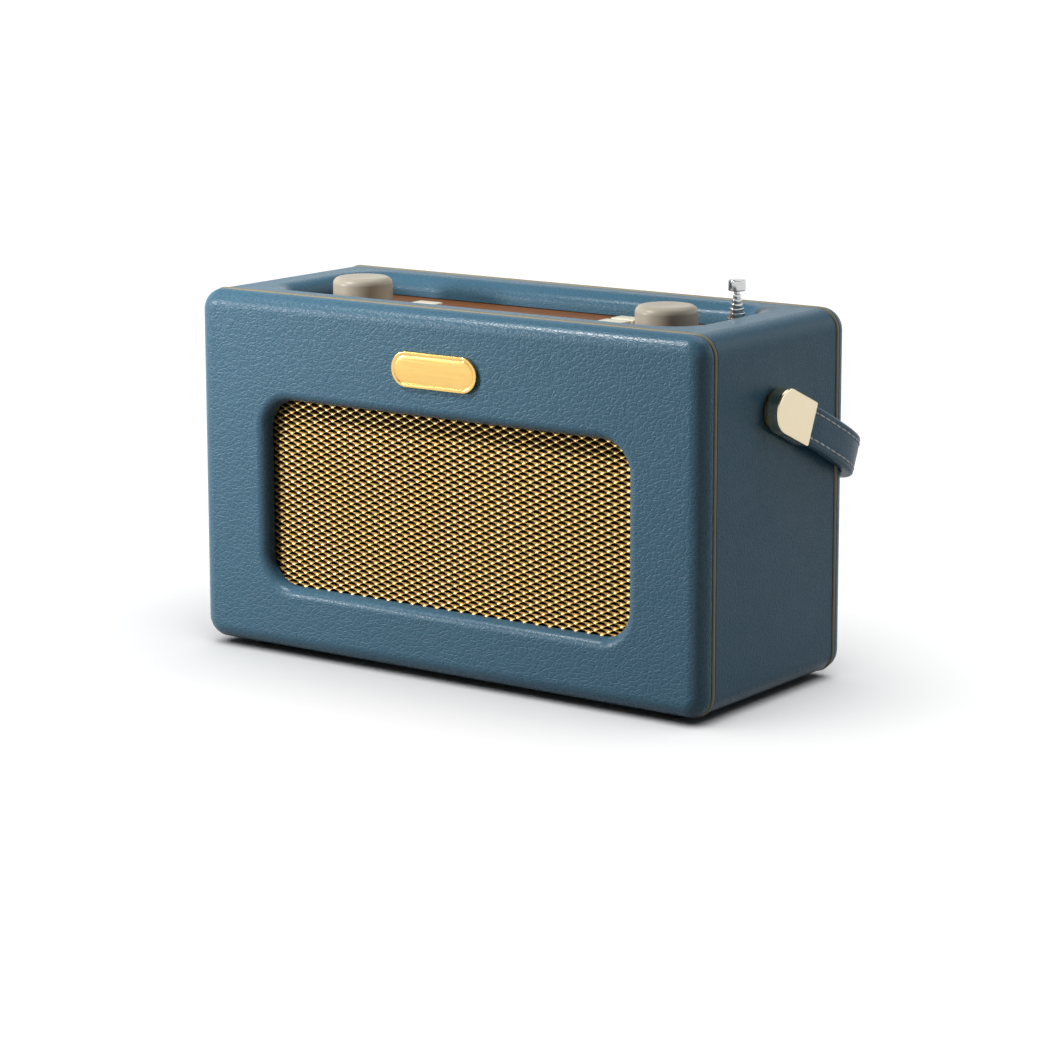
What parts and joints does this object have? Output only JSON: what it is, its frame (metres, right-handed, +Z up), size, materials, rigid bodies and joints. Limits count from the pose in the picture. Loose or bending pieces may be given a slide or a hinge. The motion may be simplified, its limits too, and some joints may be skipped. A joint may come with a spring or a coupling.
{
  "type": "portable radio",
  "caption": "Portable radio in a blue leathercloth case with a gold mesh grille, recessed top controls, telescopic antenna and a swinging strap handle.",
  "frame": {"origin": "on the standing surface, under the middle of the bounding box with the handle down at the rear", "axes": "+X to the right seen from the front, along the case; -Y to the front with the grille; +Z up"},
  "size_m": [0.2652, 0.1184, 0.1627],
  "materials": {
    "leathercloth": "grained blue leathercloth",
    "gold_piping": "gold piping",
    "gold_mesh": "gold anodised expanded metal",
    "gold_plaque": "polished gold",
    "pale_gold": "satin pale gold",
    "bronze_plate": "bronze anodised",
    "putty": "soft-touch putty",
    "cream": "cream moulding",
    "window": "dark clear window",
    "black": "black moulding",
    "board": "circuit board",
    "fibreboard": "dark fibreboard",
    "paper": "black paper cone",
    "steel": "plated steel",
    "magnet": "magnet with steel cup",
    "chrome": "chromed tube",
    "brass": "turned brass",
    "rubber": "black rubber",
    "battery": "wrapped cells"
  },
  "bodies": {
    "radio": {"antenna_guide": "black", "back_plate": "black", "back_screw_1": "steel", "back_screw_2": "steel", "back_screw_3": "steel", "back_screw_4": "steel", "badge_plate": "gold_plaque", "baffle_board": "fibreboard", "battery_pack": "battery", "battery_tray": "black", "cabinet_sleeve": "leathercloth", "control_board": "board", "control_plate": "bronze_plate", "display_module": "black", "display_window": "window", "door_hinge_pin": "steel", "encoder_left": "steel", "encoder_right": "steel", "foot_1": "rubber", "foot_2": "rubber", "foot_3": "rubber", "foot_4": "rubber", "front_panel": "leathercloth", "front_piping": "gold_piping", "headphone_socket": "steel", "main_board": "board", "pivot_bush_left": "brass", "pivot_bush_right": "brass", "power_socket": "steel", "rear_panel": "leathercloth", "rear_piping": "gold_piping", "speaker_cone": "paper", "speaker_frame": "steel", "speaker_grille": "gold_mesh", "speaker_magnet": "magnet"},
    "handle": {"handle_strap": "leathercloth", "handle_cap_left": "pale_gold", "handle_cap_right": "pale_gold", "pivot_screw_left": "steel", "pivot_screw_right": "steel"},
    "volume_knob": {"knob_left": "putty", "encoder_shaft_left": "steel"},
    "tuning_knob": {"knob_right": "putty", "encoder_shaft_right": "steel"},
    "battery_door": {"battery_door": "black"},
    "antenna_mast": {"antenna_mast": "chrome"},
    "antenna_tip": {"antenna_tip": "chrome"},
    "button_left_1": {"button_left_1": "cream"},
    "button_left_2": {"button_left_2": "cream"},
    "button_left_3": {"button_left_3": "cream"},
    "button_right_1": {"button_right_1": "cream"},
    "button_right_2": {"button_right_2": "cream"},
    "button_right_3": {"button_right_3": "cream"},
    "button_right_4": {"button_right_4": "cream"},
    "antenna_section_1": {"antenna_section_1": "chrome"},
    "antenna_section_2": {"antenna_section_2": "chrome"},
    "antenna_section_3": {"antenna_section_3": "chrome"},
    "antenna_section_4": {"antenna_section_4": "chrome"},
    "antenna_section_5": {"antenna_section_5": "chrome"}
  },
  "joints": [
    {"name": "handle_swing", "type": "hinge", "parent": "radio", "child": "handle", "pos_m": [0, -0.00769, 0.1173], "axis": [1, 0, 0], "range_deg": [0, 234]},
    {"name": "volume_turn", "type": "hinge", "parent": "radio", "child": "volume_knob", "pos_m": [-0.076, -0.00889, 0.143], "axis": [0, 0, 1], "continuous": true},
    {"name": "tuning_turn", "type": "hinge", "parent": "radio", "child": "tuning_knob", "pos_m": [0.076, -0.00889, 0.143], "axis": [0, 0, 1], "continuous": true},
    {"name": "battery_door_open", "type": "hinge", "parent": "radio", "child": "battery_door", "pos_m": [0, 0.04681, 0.0269], "axis": [-1, 0, 0], "range_deg": [0, 90]},
    {"name": "button_left_1_press", "type": "slide", "parent": "radio", "child": "button_left_1", "axis": [0, 0, -1], "range_m": [0, 0.0009], "stiffness_N_per_m": 400, "springref_m": -0.001},
    {"name": "button_left_2_press", "type": "slide", "parent": "radio", "child": "button_left_2", "axis": [0, 0, -1], "range_m": [0, 0.0009], "stiffness_N_per_m": 400, "springref_m": -0.001},
    {"name": "button_left_3_press", "type": "slide", "parent": "radio", "child": "button_left_3", "axis": [0, 0, -1], "range_m": [0, 0.0009], "stiffness_N_per_m": 400, "springref_m": -0.001},
    {"name": "button_right_1_press", "type": "slide", "parent": "radio", "child": "button_right_1", "axis": [0, 0, -1], "range_m": [0, 0.0009], "stiffness_N_per_m": 400, "springref_m": -0.001},
    {"name": "button_right_2_press", "type": "slide", "parent": "radio", "child": "button_right_2", "axis": [0, 0, -1], "range_m": [0, 0.0009], "stiffness_N_per_m": 400, "springref_m": -0.001},
    {"name": "button_right_3_press", "type": "slide", "parent": "radio", "child": "button_right_3", "axis": [0, 0, -1], "range_m": [0, 0.0009], "stiffness_N_per_m": 400, "springref_m": -0.001},
    {"name": "button_right_4_press", "type": "slide", "parent": "radio", "child": "button_right_4", "axis": [0, 0, -1], "range_m": [0, 0.0009], "stiffness_N_per_m": 400, "springref_m": -0.001},
    {"name": "antenna_mast_slide", "type": "slide", "parent": "radio", "child": "antenna_mast", "axis": [0, 0, 1], "range_m": [0, 0.085]},
    {"name": "antenna_section_1_slide", "type": "slide", "parent": "antenna_mast", "child": "antenna_section_1", "axis": [0, 0, 1], "range_m": [0, 0.095]},
    {"name": "antenna_section_2_slide", "type": "slide", "parent": "antenna_section_1", "child": "antenna_section_2", "axis": [0, 0, 1], "range_m": [0, 0.095]},
    {"name": "antenna_section_3_slide", "type": "slide", "parent": "antenna_section_2", "child": "antenna_section_3", "axis": [0, 0, 1], "range_m": [0, 0.095]},
    {"name": "antenna_section_4_slide", "type": "slide", "parent": "antenna_section_3", "child": "antenna_section_4", "axis": [0, 0, 1], "range_m": [0, 0.095]},
    {"name": "antenna_section_5_slide", "type": "slide", "parent": "antenna_section_4", "child": "antenna_section_5", "axis": [0, 0, 1], "range_m": [0, 0.095]},
    {"name": "antenna_tip_slide", "type": "slide", "parent": "antenna_section_5", "child": "antenna_tip", "axis": [0, 0, 1], "range_m": [0, 0.095]}
  ]
}
